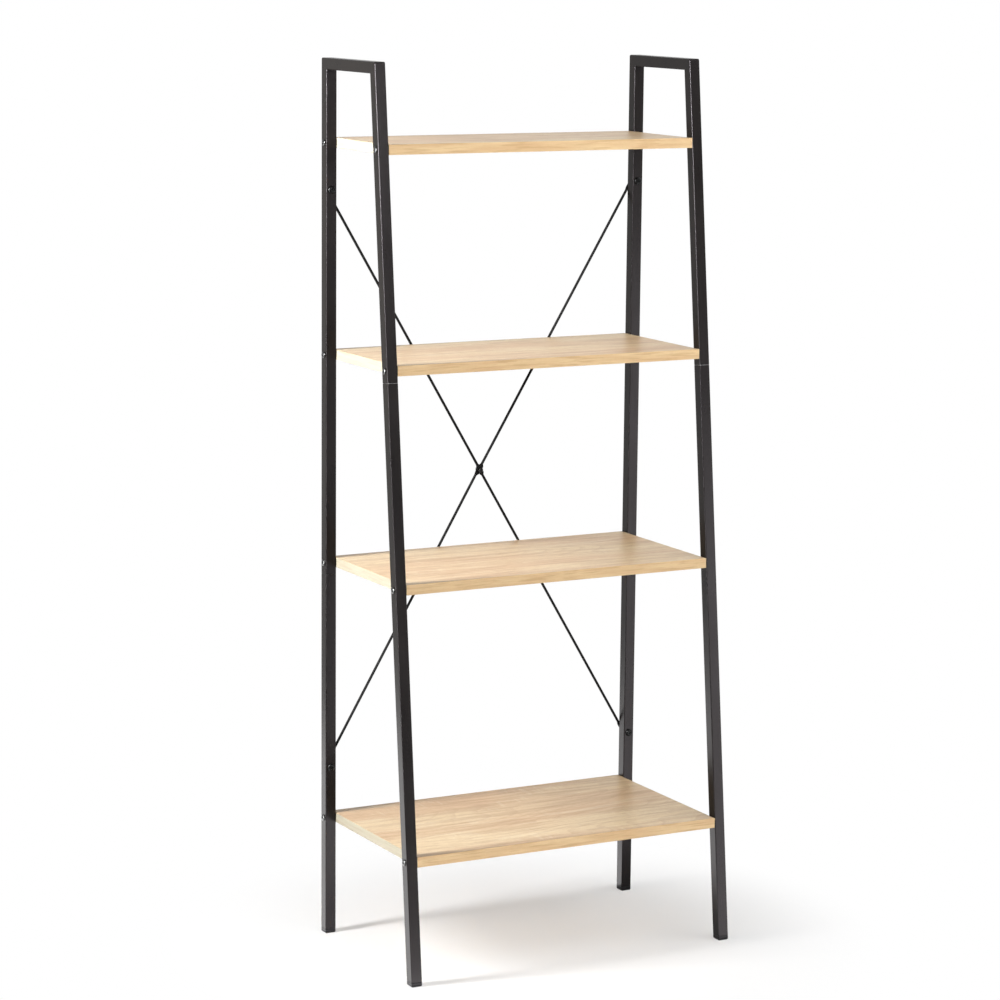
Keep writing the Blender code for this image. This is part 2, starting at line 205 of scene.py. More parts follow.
# %% Noise, ranges and sums


def stretched_noise(tree, place, stretch, detail, offset=(0, 0, 0)):
    """Noise whose grains per metre differ along X, Y and Z."""
    mapped = add(tree, "ShaderNodeMapping", {"Vector": place, "Scale": stretch,
                                             "Location": offset})
    noise = add(tree, "ShaderNodeTexNoise", {"Vector": mapped.outputs[0], "Scale": 1.0,
                                             "Detail": detail})
    return noise.outputs["Fac"]


def even_noise(tree, place, grains, detail):
    """Noise with as many grains per metre in every direction."""
    return stretched_noise(tree, place, (grains, grains, grains), detail)


def remap(tree, value, low, high, to_low=0.0, to_high=1.0, smooth=False):
    """Stretch the range from low to high over the range from to_low to to_high."""
    kind = "SMOOTHSTEP" if smooth else "LINEAR"
    node = add(tree, "ShaderNodeMapRange", {"Value": value, "From Min": low,
                                            "From Max": high, "To Min": to_low,
                                            "To Max": to_high}, interpolation_type=kind)
    return node.outputs["Result"]


def arithmetic(tree, operation, first, second=0.0):
    node = add(tree, "ShaderNodeMath", {0: first, 1: second}, operation=operation)
    return node.outputs[0]


# %% Colours and bump


def mix_colors(tree, share, first, second):
    """Mix two colours. Sockets 6 and 7 are the Mix node's colours, output 2 its result."""
    node = add(tree, "ShaderNodeMix", {"Factor": share, 6: first, 7: second},
               data_type="RGBA")
    return node.outputs[2]


def grey(level):
    return (level, level, level, 1)


def paint(tree, shader, color):
    tree.links.new(color, shader.inputs["Base Color"])


def bump(tree, shader, height, distance):
    """Raise the surface by the distance, in metres, where the height is one."""
    node = add(tree, "ShaderNodeBump", {"Height": height, "Distance": distance,
                                        "Strength": 1.0})
    tree.links.new(node.outputs[0], shader.inputs["Normal"])


# %% [markdown]
# ## Black powder coat
# Powder is sprayed on and baked, so the coat flows together into a satin film with a
# very fine orange peel. It is a nearly black, slightly brown film that mirrors the
# studio only weakly. A plain dark Principled BSDF mirrors more and would look like
# plastic. Here a fine noise drives the bump, and a broad one drifts the colour and the
# gloss a little. The tint takes some green out of what the coat mirrors. The thin brace
# rods are blacker and duller than the tubes, so they get a finish of their own with
# almost no mirror in it.

# %% Powder coat
coat_dark = (0.0047, 0.0034, 0.0025, 1)
coat_light = (0.0070, 0.0053, 0.0040, 1)
coat_tint = (1.0, 0.93, 1.0, 1)
coat_specular = 0.135
peel_depth = 0.00004
rod_specular = 0.06
rod_skin_depth = 0.000008


def make_powder_coat():
    material, tree, shader, place = start_material("powder_coat", 0.3, coat_specular)
    shader.inputs["Specular Tint"].default_value = coat_tint
    drift = stretched_noise(tree, place, (25, 25, 9), detail=3)
    peel = even_noise(tree, place, 900, detail=1)
    share = remap(tree, drift, 0.35, 0.65)
    paint(tree, shader, mix_colors(tree, share, coat_dark, coat_light))
    roughness = remap(tree, drift, 0.3, 0.7, 0.26, 0.34)
    tree.links.new(roughness, shader.inputs["Roughness"])
    bump(tree, shader, peel, peel_depth)
    return material


def make_rod_black():
    material, tree, shader, place = start_material("rod_black", 0.5, rod_specular)
    skin = even_noise(tree, place, 700, detail=2)
    paint(tree, shader, mix_colors(tree, skin, grey(0.003), grey(0.007)))
    bump(tree, shader, skin, rod_skin_depth)
    return material


powder_coat = make_powder_coat()
rod_black = make_rod_black()
print("made", powder_coat.name, rod_black.name)

# %% [markdown]
# ## Black screws, plain steel and black plastic
# The screws are blackened steel: metal, but dark, with brighter worn spots. Those that
# hold the boards glint in the photo, and those of the brace are duller. The sleeves
# inside the tubes are bare drawn steel with fine lengthwise lines. The foot caps are
# moulded plastic with the tubes' colour and sheen.

# %% Screws, sleeves and caps
steel_skin_depth = 0.00001
mostly_metal = 0.9
steel_dark = (0.5, 0.5, 0.51, 1)
steel_light = (0.62, 0.62, 0.63, 1)
plastic_skin_depth = 0.00003


def make_black_steel(name, dark, bright):
    material, tree, shader, place = start_material(name, 0.3, metallic=mostly_metal)
    stain = even_noise(tree, place, 400, detail=3)
    share = remap(tree, stain, 0.4, 0.62)
    paint(tree, shader, mix_colors(tree, share, grey(dark), grey(bright)))
    roughness = remap(tree, stain, 0.3, 0.7, 0.24, 0.36)
    tree.links.new(roughness, shader.inputs["Roughness"])
    skin = even_noise(tree, place, 2500, detail=1)
    bump(tree, shader, skin, steel_skin_depth)
    return material


def make_drawn_steel():
    material, tree, shader, place = start_material("drawn_steel", 0.35, metallic=1.0)
    lines = stretched_noise(tree, place, (3000, 3000, 30), detail=2)
    paint(tree, shader, mix_colors(tree, lines, steel_dark, steel_light))
    bump(tree, shader, lines, steel_skin_depth)
    return material


def make_moulded_plastic():
    material, tree, shader, place = start_material("moulded_plastic", 0.32, coat_specular)
    shader.inputs["Specular Tint"].default_value = coat_tint
    skin = even_noise(tree, place, 1400, detail=2)
    paint(tree, shader, mix_colors(tree, skin, grey(0.005), grey(0.008)))
    bump(tree, shader, skin, plastic_skin_depth)
    return material


black_steel = make_black_steel("black_steel", dark=0.04, bright=0.09)
dull_steel = make_black_steel("dull_steel", dark=0.003, bright=0.01)
drawn_steel = make_drawn_steel()
moulded_plastic = make_moulded_plastic()
print("made", black_steel.name, dull_steel.name, drawn_steel.name, moulded_plastic.name)

# %% [markdown]
# ## Oak faces
# The boards are faced with light oak. Flat-sawn oak shows growth rings as long nested
# arches, so the rings here are the contour lines of a smooth noise stretched along the
# grain. Broad pale and tan zones, cream and dark lines, fibres and pores lie over them,
# and a slow sway bends them all together. In patches the facing also shows light
# strokes across the grain, as a saw leaves them. The finish is a dull satin: it mirrors
# the legs as soft dark bars. Each board gets its own stretch of the plank, because the
# pattern slides along and across by a step for each board.

# %% Oak patterns
sway_reach = 0.012
ring_count = 30.0
ring_share = 0.22


def make_swaying_place(tree, place, slide):
    """The place on the board, pushed a little across the grain."""
    wander = stretched_noise(tree, place, (4, 9, 1), detail=2, offset=slide)
    push = remap(tree, wander, 0, 1, -sway_reach, sway_reach)
    sway = add(tree, "ShaderNodeCombineXYZ", {"Y": push}).outputs[0]
    return add(tree, "ShaderNodeVectorMath", {0: place, 1: sway},
               operation="ADD").outputs[0]


def make_growth_rings(tree, grain, slide):
    """The contour lines of long low hills."""
    hills = stretched_noise(tree, grain, (1.6, 6, 1), detail=1, offset=slide)
    rings = arithmetic(tree, "FRACT", arithmetic(tree, "MULTIPLY", hills, ring_count))
    ring = remap(tree, rings, 0.55, 1.0, smooth=True)
    return arithmetic(tree, "MULTIPLY", ring, ring_share)


def make_saw_marks(tree, place, slide):
    """Light strokes across the grain, in patches."""
    strokes = stretched_noise(tree, place, (115, 18, 1), detail=1, offset=slide)
    patches = stretched_noise(tree, place, (9, 22, 1), detail=1, offset=slide)
    return arithmetic(tree, "MULTIPLY", remap(tree, strokes, 0.52, 0.6),
                      remap(tree, patches, 0.56, 0.66, 0, 0.45))


# %% Oak face
oak_pale = (0.70, 0.55, 0.345, 1)
oak_tan = (0.61, 0.415, 0.245, 1)
oak_cream = (0.75, 0.63, 0.44, 1)
oak_ring = (0.39, 0.22, 0.11, 1)
oak_specular = 0.25
pore_depth = 0.00003
slide_along = 3.7
slide_across = 1.9
board_numbers = (1, 2, 3, 4)


def make_oak_face(number):
    material, tree, shader, place = start_material(f"oak_face_{number}", 0.38,
                                                   oak_specular)
    slide = (number * slide_along, number * slide_across, 0)
    grain = make_swaying_place(tree, place, slide)
    rings = make_growth_rings(tree, grain, slide)
    zones = stretched_noise(tree, grain, (2, 11, 1), detail=1, offset=slide)
    lines = stretched_noise(tree, grain, (5, 75, 1), detail=3, offset=slide)
    streaks = stretched_noise(tree, grain, (10, 120, 1), detail=3, offset=slide)
    fibres = stretched_noise(tree, grain, (80, 1100, 1), detail=3, offset=slide)
    pores = stretched_noise(tree, grain, (140, 1500, 1), detail=1, offset=slide)
    color = mix_colors(tree, remap(tree, zones, 0.4, 0.6, 0, 0.85), oak_pale, oak_tan)
    color = mix_colors(tree, remap(tree, lines, 0.42, 0.36, 0, 0.55), color, oak_cream)
    color = mix_colors(tree, make_saw_marks(tree, place, slide), color, oak_cream)
    color = mix_colors(tree, rings, color, oak_ring)
    darker = ((lines, 0.53, 0.6, 0.3), (streaks, 0.55, 0.62, 0.3),
              (fibres, 0.5, 0.75, 0.42), (pores, 0.62, 0.7, 0.4))
    for marks, low, high, most in darker:
        color = mix_colors(tree, remap(tree, marks, low, high, 0, most), color, oak_ring)
    paint(tree, shader, color)
    roughness = remap(tree, fibres, 0.3, 0.7, 0.34, 0.42)
    tree.links.new(roughness, shader.inputs["Roughness"])
    bump(tree, shader, arithmetic(tree, "SUBTRACT", 1.0, fibres), pore_depth)
    return material


oak_faces = [make_oak_face(number) for number in board_numbers]
print("made", [m.name for m in oak_faces])

# %% [markdown]
# ## Oak edges
# A thin strip of the same oak covers the edges. Its grain runs along the edge, so the
# pattern reads X and Y added together as its length: on the front edge Y stands still,
# and on the ends X does. The ends are the same oak strip, but painted darker and greyer
# than the front as painted shade: the strong light on the left lifts them back to cream.

# %% Oak edge
edge_specular = 0.04


def make_oak_edge(name, pale, tan, streak):
    material, tree, shader, place = start_material(name, 0.4, edge_specular)
    split = add(tree, "ShaderNodeSeparateXYZ", {"Vector": place})
    along = arithmetic(tree, "ADD", split.outputs["X"], split.outputs["Y"])
    joined = add(tree, "ShaderNodeCombineXYZ", {"X": along, "Z": split.outputs["Z"]})
    run = joined.outputs[0]
    zones = stretched_noise(tree, run, (8, 1, 110), detail=2)
    streaks = stretched_noise(tree, run, (16, 1, 260), detail=3)
    fibres = stretched_noise(tree, run, (120, 1, 1800), detail=2)
    color = mix_colors(tree, remap(tree, zones, 0.35, 0.65), pale, tan)
    color = mix_colors(tree, remap(tree, streaks, 0.52, 0.62, 0, 0.45), color, streak)
    color = mix_colors(tree, remap(tree, fibres, 0.5, 0.8, 0, 0.3), color, streak)
    paint(tree, shader, color)
    bump(tree, shader, fibres, pore_depth)
    return material


oak_front = make_oak_edge("oak_front", pale=(0.90, 0.665, 0.38, 1),
                          tan=(0.80, 0.545, 0.30, 1), streak=(0.62, 0.385, 0.187, 1))
# The end strip's colours are painted shade: darker and greyer than the front strip's, to
# offset the strong light on the left.
oak_end_with_painted_shade = make_oak_edge("oak_end_with_painted_shade", pale=(0.53, 0.49, 0.385, 1),
                        tan=(0.48, 0.43, 0.32, 1), streak=(0.42, 0.35, 0.25, 1))
print("made", oak_front.name, oak_end_with_painted_shade.name)

# %% [markdown]
# ## Shaping by a walked ring
# Tube, rod, cap, screw and nut have one thing in common: a ring that changes as it
# travels along a line. A ring of vertices remembers its own outline in two layers, and
# each extrusion copies them. A place is a rule that turns an outline point into a point
# in space, so a list of places is the whole shape. A mitre or a hexagon is then only
# another rule. The Curve and Screw tools sweep one fixed outline, which is too little.

# %% Walk a ring
outline_layers = ("across", "out")


def start_ring(bm, outline):
    """Add the layers, then lay the ring that the outline function draws around zero."""
    for name in outline_layers:
        if name not in bm.verts.layers.float:
            bm.verts.layers.float.new(name)
    across, out = (bm.verts.layers.float[name] for name in outline_layers)
    known = set(bm.verts)
    outline(bm)
    ring = [v for v in bm.verts if v not in known]
    for v in ring:
        v[across] = v.co.x
        v[out] = v.co.y
    return ring


def settle(bm, ring, place):
    """Move each point of the ring to where the place puts its outline point."""
    across, out = (bm.verts.layers.float[name] for name in outline_layers)
    for v in ring:
        v.co = place(v[across], v[out])


def ring_edges(ring):
    """The edges whose two ends both lie on the ring."""
    members = set(ring)
    return [e for e in {e for v in ring for e in v.link_edges}
            if members.issuperset(e.verts)]


def walk(bm, outline, places):
    """Extrude a ring from place to place. Returns the edges of its first and last ring."""
    ring = start_ring(bm, outline)
    settle(bm, ring, places[0])
    edges = ring_edges(ring)
    first = edges
    for place in places[1:]:
        grown = bmesh.ops.extrude_edge_only(bm, edges=edges)["geom"]
        ring = [g for g in grown if isinstance(g, bmesh.types.BMVert)]
        settle(bm, ring, place)
        edges = ring_edges(ring)
    return first, edges


def cap(bm, edges):
    bmesh.ops.contextual_create(bm, geom=edges)


# %% [markdown]
# ## Square tube
# The outline is a circle of four vertices, which is a square on its corner, turned by
# an eighth and bevelled at its vertices. At the top of a frame two tubes meet at a
# mitre: there the places fan round the outer edge, where the weld has been ground,
# and stay together on the inner edge, which is sharp.

# %% Tube outline
tube_wall = 0.001
tube_radius = 0.0015
corner_segments = 6


def square_outline(size, radius):
    def draw(bm):
        made = bmesh.ops.create_circle(bm, segments=4, radius=size / math.sqrt(2),
                                       matrix=Matrix.Rotation(math.pi / 4, 4, "Z"))
        bmesh.ops.bevel(bm, geom=made["verts"], offset=radius, offset_type="OFFSET",
                        segments=corner_segments, profile=0.5, material=-1,
                        affect="VERTICES")
    return draw


print("tube wall", tube_wall * 1000, "mm, corner radius", tube_radius * 1000, "mm")

# %% Places along a tube
top_radius = 0.003
end_chamfer = 0.0004
mitre_segments = 6
end_segments = 3


def outer_normal(direction):
    """The outer side of a frame that runs up, forward and down in the YZ plane."""
    return Vector((0, direction.z, -direction.y))


def straight_place(x, centre, direction, level=False, shrink=1.0):
    """A section square to the tube, or level with the floor."""
    normal = outer_normal(direction)

    def place(across, out):
        point = centre + normal * (out * shrink)
        if level:
            point = point + direction * ((centre.z - point.z) / direction.z)
        return Vector((x + across * shrink, point.y, point.z))
    return place


def mitre_places(x, corner, before, after):
    """Sections round a corner, from one tube's direction to the next one's."""
    first, last = outer_normal(before), outer_normal(after)
    mitre = (first + last) / (1 + first.dot(last))
    pivot_out = tube_size / 2 - top_radius
    pivot = corner + mitre * pivot_out

    def fan(step):
        normal = first.slerp(last, step / mitre_segments)

        def place(across, out):
            if out > pivot_out:
                point = pivot + normal * (out - pivot_out)
            else:
                point = corner + mitre * out
            return Vector((x + across, point.y, point.z))
        return place
    return [fan(step) for step in range(mitre_segments + 1)]


def rounded_end(x, end, inward, direction, level):
    """Places that roll over the tube's rim, from its end face to its full section."""
    places = []
    for step in range(end_segments + 1):
        angle = step / end_segments * math.pi / 2
        sunk = end_chamfer * (1 - math.sin(angle))
        along = end_chamfer * (1 - math.cos(angle))
        shrink = (tube_size - 2 * sunk) / tube_size
        places.append(straight_place(x, end + inward * along, direction, level, shrink))
    return places


# %% Hollow tube


def make_tube(name, x, path, node, level_start=False):
    """A hollow tube along a path. Its two walls are walked apart, then bridged."""
    ways = [(far - near).normalized() for near, far in zip(path, path[1:])]
    corners = []
    for i in range(1, len(path) - 1):
        corners += mitre_places(x, path[i], ways[i - 1], ways[i])
    outside = rounded_end(x, path[0], ways[0], ways[0], level_start)
    outside += corners + rounded_end(x, path[-1], -ways[-1], ways[-1], False)[::-1]
    inside = [straight_place(x, path[0], ways[0], level_start)]
    inside += corners + [straight_place(x, path[-1], ways[-1])]
    bm = bmesh.new()
    outline = square_outline(tube_size, tube_radius)
    outer_ends = walk(bm, outline, outside)
    outline = square_outline(tube_size - 2 * tube_wall, tube_radius - tube_wall)
    inner_ends = walk(bm, outline, inside)
    for outer, inner in zip(outer_ends, inner_ends):
        bmesh.ops.bridge_loops(bm, edges=outer + inner)
    piece = finish(name, bm, [powder_coat], node, slot="black_powder_coat")
    print(name, len(piece.data.polygons), "faces")


# %% [markdown]
# ## Side frames and lower legs
# Each side is a welded frame, which ends at the seams, and two lower legs. Where a
# lower leg starts and ends is read from its CAD box. The front leg's upper end is cut
# square to the leaning tube, so there the box is corrected by half a tube's tilt.

# %% Frames and legs
sides = ((-1, "left"), (1, "right"))
tilt_rise = tube_size / 2 * lean.y
bar_z = frame_top - tube_size / 2


def make_side(side, side_name):
    x = side * leg_x
    rear_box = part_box(f"lower_rear_leg_{side_name}")
    front_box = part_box(f"lower_front_leg_{side_name}")
    rear_seam = rear_box[1].z
    front_seam = front_box[1].z - tilt_rise
    over_the_top = [rear_point(rear_seam + gap), rear_point(bar_z), front_point(bar_z),
                    front_point(front_seam + gap)]
    up_the_rear = [rear_point(rear_box[0].z), rear_point(rear_seam)]
    up_the_front = [front_point(front_box[0].z), front_point(front_seam)]
    make_tube(f"welded_frame_{side_name}", x, over_the_top, f"upper_frame_{side_name}")
    make_tube(f"rear_leg_{side_name}", x, up_the_rear, f"lower_rear_leg_{side_name}",
              level_start=True)
    make_tube(f"front_leg_{side_name}", x, up_the_front, f"lower_front_leg_{side_name}",
              level_start=True)


for side, side_name in sides:
    make_side(side, side_name)

# %% [markdown]
# ## Foot caps
# Each leg ends in a plastic cap with a rounded bottom edge and a hollow plug that grips
# the inside of the tube. It is the tube's own outline again, drawn in at the bottom,
# stepped in at the plug, and turned back down into the plug's well.

# %% Foot caps
foot_height = 0.007
foot_edge = 0.0025
foot_plug_height = 0.013
foot_plug_wall = 0.0015
foot_edge_segments = 6


def foot_stations():
    """From the floor up, over the rim and down into the well: height and width."""
    plug = tube_size - 2 * tube_wall - 2 * gap
    well = plug - 2 * foot_plug_wall
    plug_top = foot_height + foot_plug_height
    stations = []
    for step in range(foot_edge_segments + 1):
        angle = step / foot_edge_segments * math.pi / 2
        stations.append((foot_edge * (1 - math.cos(angle)),
                         tube_size - 2 * foot_edge * (1 - math.sin(angle))))
    stations += [(foot_height - gap, tube_size), (foot_height, tube_size - 2 * gap),
                 (foot_height, plug), (plug_top, plug), (plug_top, well),
                 (foot_height, well)]
    return stations


def make_foot(name, side, point_at, direction, node):
    places = [straight_place(side * leg_x, point_at(z), direction, True, size / tube_size)
              for z, size in foot_stations()]
    bm = bmesh.new()
    for edges in walk(bm, square_outline(tube_size, tube_radius), places):
        cap(bm, edges)
    finish(name, bm, [moulded_plastic], node, slot="black_plastic")


for side, side_name in sides:
    make_foot(f"rear_foot_{side_name}", side, rear_point, upright,
              f"foot_cap_rear_{side_name}")
    make_foot(f"front_foot_{side_name}", side, front_point, lean,
              f"foot_cap_front_{side_name}")
print("feet", foot_height * 1000, "mm high")

# %% [markdown]
# ## Boards and their front strips
# A board is a box with a hair of bevel, so its edges catch a thin line of light. Faces
# that look up or down get the veneer, the ends get their own strip, and the back gets
# the same strip as the front. The front strip is a piece of its own, one millimetre
# thick, glued on.

# %% Boards
board_bevel = 0.0008
band_bevel = 0.0002
edge_segments = 3
facing_share = 0.7


def make_box(name, node, bevel, materials, slot):
    """A bevelled box. Its materials are for its level faces, its ends and the rest."""
    low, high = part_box(node)
    bm = bmesh.new()
    bmesh.ops.create_cube(bm, size=1)
    bmesh.ops.scale(bm, vec=high - low, verts=bm.verts)
    bmesh.ops.translate(bm, vec=(low + high) / 2, verts=bm.verts)
    bmesh.ops.bevel(bm, geom=bm.edges[:], offset=bevel, segments=edge_segments,
                    profile=0.5, material=-1, affect="EDGES")
    bm.normal_update()
    for face in bm.faces:
        if abs(face.normal.z) > facing_share:
            face.material_index = 0
        elif abs(face.normal.x) > facing_share:
            face.material_index = 1
        else:
            face.material_index = 2
    finish(name, bm, materials, node, slot=slot)


for number in board_numbers:
    make_box(f"oak_shelf_{number}", f"shelf_board_{number}", board_bevel,
             [oak_faces[number - 1], oak_end_with_painted_shade, oak_front], "light_oak_board")
    make_box(f"oak_front_strip_{number}", f"front_edge_band_{number}", band_bevel,
             [oak_front] * 3, "light_oak_edge")

# %% [markdown]
# ## Screws
# Button-head screws hold the boards and the brace. A head is a turned dome with a
# hexagon socket, so a ring of 48 points is walked from the shank over the dome and down
# into the socket, where its rule changes from a circle to a hexagon. Six corners of the
# hexagon fall on points of the ring, because 48 is a multiple of six. The two kinds of
# screw differ in shank, in the depth of the socket and in their black.

# %% Turned places
round_segments = 48


def round_outline(bm):
    bmesh.ops.create_circle(bm, segments=round_segments, radius=1)


def turned_place(origin, axis, distance, radius, hexagon=0.0, limit=None):
    """A ring round an axis. A hexagon of that width is cut off at the limit radius."""
    other = axis.cross(upright)

    def place(across, out):
        reach = radius
        if hexagon:
            angle = math.atan2(out, across) % (math.pi / 3)
            reach = hexagon / 2 / math.cos(angle - math.pi / 6)
            if limit:
                reach = min(reach, limit)
        return (origin + axis * distance + upright * (across * reach)
                + other * (out * reach))
    return place


# %% Screws
dome_segments = 8
shank_chamfer = 0.0005
socket_width = 0.004
rim_share = 0.66
rim = socket_width * rim_share
flat_share = 0.22
lip = 0.0002
shelf_screw = (0.003, 0.0016, black_steel)
brace_screw = (0.0025, 0.0018, dull_steel)


def make_screw(name, node, seat, axis, kind):
    """A button-head screw. Its length and its head are read from the CAD node."""
    shank, depth, metal = kind
    low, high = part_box(node)
    tip, height = sorted(((low - seat).dot(axis), (high - seat).dot(axis)))
    head = (high.z - low.z) / 2
    flat = height * flat_share
    rings = [(tip, shank - shank_chamfer), (tip + shank_chamfer, shank), (0, shank),
             (0, head - lip), (lip, head)]
    for step in range(dome_segments + 1):
        angle = step / dome_segments * math.pi / 2
        rings.append((flat + (height - flat) * math.sin(angle),
                      rim + (head - rim) * math.cos(angle)))
    places = [turned_place(seat, axis, *ring) for ring in rings]
    places += [turned_place(seat, axis, height, 0, hexagon=socket_width + 2 * lip),
               turned_place(seat, axis, height - lip, 0, hexagon=socket_width),
               turned_place(seat, axis, height - depth, 0, hexagon=socket_width)]
    bm = bmesh.new()
    for edges in walk(bm, round_outline, places):
        cap(bm, edges)
    finish(name, bm, [metal], node, slot="black_screw")


# %% Shelf screws
side_face = leg_x + tube_size / 2
for side, side_name in sides:
    for number in board_numbers:
        for place_name in ("rear", "front"):
            node = f"shelf_bolt_{number}_{place_name}_{side_name}"
            low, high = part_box(node)
            middle = (low + high) / 2
            seat = Vector((side * (side_face + gap), middle.y, middle.z))
            make_screw(f"shelf_screw_{number}_{place_name}_{side_name}", node, seat,
                       Vector((side, 0, 0)), shelf_screw)
print("shelf screw head", round((high.z - low.z) * 1000, 2), "mm across")

# %% [markdown]
# ## Nuts
# A hexagon nut is turned on both faces before it is threaded, so its corners are cut off
# in arcs. Each ring here keeps whichever is smaller: the hexagon, or the cone of the
# chamfer at that depth. The arcs appear by themselves.

# %% Nuts
nut_width = 0.008
nut_bore = 0.0028
crown_share = 0.97
crown = nut_width / 2 * crown_share
chamfer_depths = (0, 0.00015, 0.0003, 0.00045, 0.0006)
cone_spread = 1.73


def make_nut(name, node, seat, axis):
    low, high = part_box(node)
    thickness = high.y - low.y
    first = [(depth, crown + depth * cone_spread) for depth in chamfer_depths]
    last = [(thickness - depth, limit) for depth, limit in reversed(first)]
    places = [turned_place(seat, axis, 0, nut_bore)]
    places += [turned_place(seat, axis, distance, 0, hexagon=nut_width, limit=limit)
               for distance, limit in first + last]
    places.append(turned_place(seat, axis, thickness, nut_bore))
    bm = bmesh.new()
    near, far = walk(bm, round_outline, places)
    bmesh.ops.bridge_loops(bm, edges=near + far)
    finish(name, bm, [dull_steel], node, slot="black_screw")


print("nut", nut_width * 1000, "mm across its flats")

# %% [markdown]
# ## Rods of the X
# The brace is four half rods. Each is a round bar whose two ends have been pressed flat
# into drilled tabs: one tab is bolted behind a rear leg, the other joins a stack of four
# on the centre bolt. The ring starts as a flat, square-edged oval and relaxes into a
# circle over the taper, as the steel does. A bar and four cut-out plates would show a
# joint that the real rod does not have.

# %% Flattened ends
rod_diameter = 0.0045
tab_width = 0.0085
tab_thickness = 0.0015
tab_taper = 0.005
tip_end = 0.97
tip_segments = 8
taper_segments = 10
round_square = 2
tab_square = 5.5


def blend(start, end, share):
    return start + (end - start) * share


def tab_stations(length):
    """From the tab's tip to the round bar: distance, width, thickness, squareness."""
    stations = []
    for step in range(tip_segments + 1):
        angle = (1 - step / tip_segments) * math.pi / 2 * tip_end
        stations.append((-tab_width / 2 * math.sin(angle), tab_width * math.cos(angle),
                         tab_thickness, tab_square))
    for step in range(taper_segments + 1):
        share = step / taper_segments
        eased = share * share * (3 - 2 * share)
        stations.append((length + tab_taper * share,
                         blend(tab_width, rod_diameter, eased),
                         blend(tab_thickness, rod_diameter, eased),
                         blend(tab_square, round_square, eased)))
    return stations


print("tab", tab_width * 1000, "x", tab_thickness * 1000, "mm")

# %% Rods
leg_tab = 0.015
centre_tab = 0.0065
forward = Vector((0, -1, 0))
backward = Vector((0, 1, 0))


def rod_place(centre, sideways, width, thickness, squareness):
    """A section that lies on the leg's back face. Squareness two is an oval."""
    def place(across, out):
        power = 2 / squareness
        wide = math.copysign(abs(across) ** power, across)
        deep = math.copysign(abs(out) ** power, out)
        return (centre + sideways * (wide * width / 2)
                + backward * (thickness / 2 * (1 + deep)))
    return place


def make_rod(name, node, leg_hole, centre_hole):
    run = Vector((centre_hole.x - leg_hole.x, 0, centre_hole.z - leg_hole.z))
    length = run.length
    way = run / length
    sideways = Vector((-way.z, 0, way.x))
    stations = tab_stations(leg_tab)
    stations += [(length - distance, *section)
                 for distance, *section in reversed(tab_stations(centre_tab))]
    bend_start = leg_tab + tab_taper
    bend_end = length - centre_tab - tab_taper
    places = []
    for distance, *section in stations:
        share = min(max((distance - bend_start) / (bend_end - bend_start), 0), 1)
        centre = leg_hole + way * distance
        centre.y = blend(leg_hole.y, centre_hole.y, share)
        places.append(rod_place(centre, sideways, *section))
    bm = bmesh.new()
    for edges in walk(bm, round_outline, places):
        cap(bm, edges)
    finish(name, bm, [rod_black], node, slot="black_powder_coat")


# %% [markdown]
# ## Bolting the X together
# Each rod runs from a bolt on its rear leg to the bolt in the middle. The four inner
# tabs lie on one another there, so each rod leans by its own small angle to reach its
# layer of the stack.

# %% The brace
corners = (("upper_left", -1), ("lower_right", 1), ("upper_right", 1), ("lower_left", -1))
tab_pitch = tab_thickness + gap
centre_low, centre_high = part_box("brace_centre_bolt")
centre_height = (centre_low.z + centre_high.z) / 2
for layer, (corner_name, side) in enumerate(corners):
    bolt_low, bolt_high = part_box(f"brace_bolt_{corner_name}")
    height = (bolt_low.z + bolt_high.z) / 2
    leg_hole = Vector((side * leg_x, back_face + gap, height))
    centre_hole = Vector((0, leg_hole.y + layer * tab_pitch, centre_height))
    make_rod(f"x_rod_{corner_name}", f"brace_rod_{corner_name}", leg_hole, centre_hole)
    seat = Vector((side * leg_x, back_face - tube_size - gap, height))
    make_screw(f"x_screw_{corner_name}", f"brace_bolt_{corner_name}", seat, forward,
               brace_screw)
    nut_seat = Vector((side * leg_x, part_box(f"brace_nut_{corner_name}")[0].y, height))
    make_nut(f"x_nut_{corner_name}", f"brace_nut_{corner_name}", nut_seat, backward)
    print(corner_name, "rod", round((leg_hole - centre_hole).length * 1000, 1), "mm")

# %% The centre bolt
seat = Vector((0, back_face, centre_height))
nut_seat = Vector((0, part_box("brace_centre_nut")[0].y, centre_height))
make_screw("x_screw_centre", "brace_centre_bolt", seat, forward, brace_screw)
make_nut("x_nut_centre", "brace_centre_nut", nut_seat, backward)
print("centre bolt at height", round(centre_height, 4))

# %% [markdown]
# ## Sleeves
# The sleeves inside the leg seams keep their CAD shape, which is right as it is. They
# only get the drawn steel finish.

# %% Sleeves
for side, side_name in sides:
    for place_name in ("rear", "front"):
        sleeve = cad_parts[f"tube_connector_{place_name}_{side_name}"]
        for material_slot in sleeve.material_slots:
            material_slot.material = drawn_steel
print("sleeves in", drawn_steel.name)

# %% [markdown]
# ## Floor and surroundings
# The floor is pale and takes the unit's soft shadow. Its white glow grows with the
# distance from the unit, so the shadow fades out and no edge shows. The studio around is
# white to the camera and in mirrors, but its walls shed almost no light: the unit is lit
# by the lamps alone. Walls that shone as white as they look would wash out the thin
# shadows on the boards and turn the black legs grey.

# %% Floor
floor_half = 2.0
floor_color = (0.92, 0.92, 0.92, 1)
floor_roughness = 0.8
floor_specular = 0.2
glow_start = 0.25
glow_full = 0.62
least_glow = 0.4
white = (1, 1, 1, 1)


def seen_directly(tree):
    """One for rays that show the background: straight, mirrored, or through glass."""
    path = add(tree, "ShaderNodeLightPath").outputs
    mirrored = arithmetic(tree, "MAXIMUM", path["Is Glossy Ray"],
                          path["Is Transmission Ray"])
    return arithmetic(tree, "MAXIMUM", path["Is Camera Ray"], mirrored)


